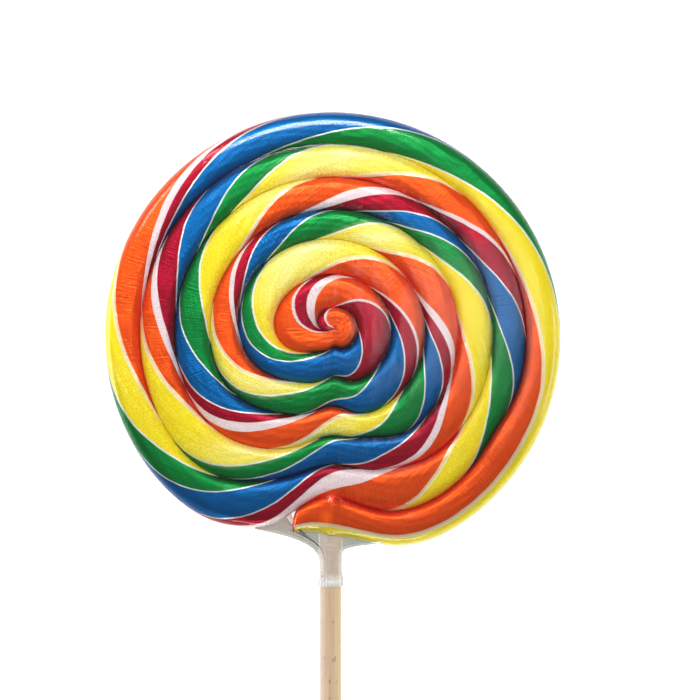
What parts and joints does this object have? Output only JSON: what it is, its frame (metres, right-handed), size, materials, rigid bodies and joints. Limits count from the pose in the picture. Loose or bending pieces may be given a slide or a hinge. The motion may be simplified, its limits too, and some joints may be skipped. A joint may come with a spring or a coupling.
{
  "type": "swirl lollipop",
  "caption": "Flat round lollipop of pulled hard candy, a twisted multicoloured rope coiled into a disc, on a round wooden stick.",
  "frame": {"origin": "centre of the coil, on the plane that the flat back of the candy rests on", "axes": "+Z out of the shown side of the disc, -Y along the stick towards its free end, +X to the right when the shown side is seen with the stick pointing down"},
  "size_m": [0.168, 0.3717, 0.0114],
  "materials": {
    "candy": "gloss",
    "wood": "matte",
    "film": "gloss"
  },
  "bodies": {
    "root": {"candy_coil": "candy", "stick": "wood", "wrapper_neck": "film"}
  },
  "joints": []
}
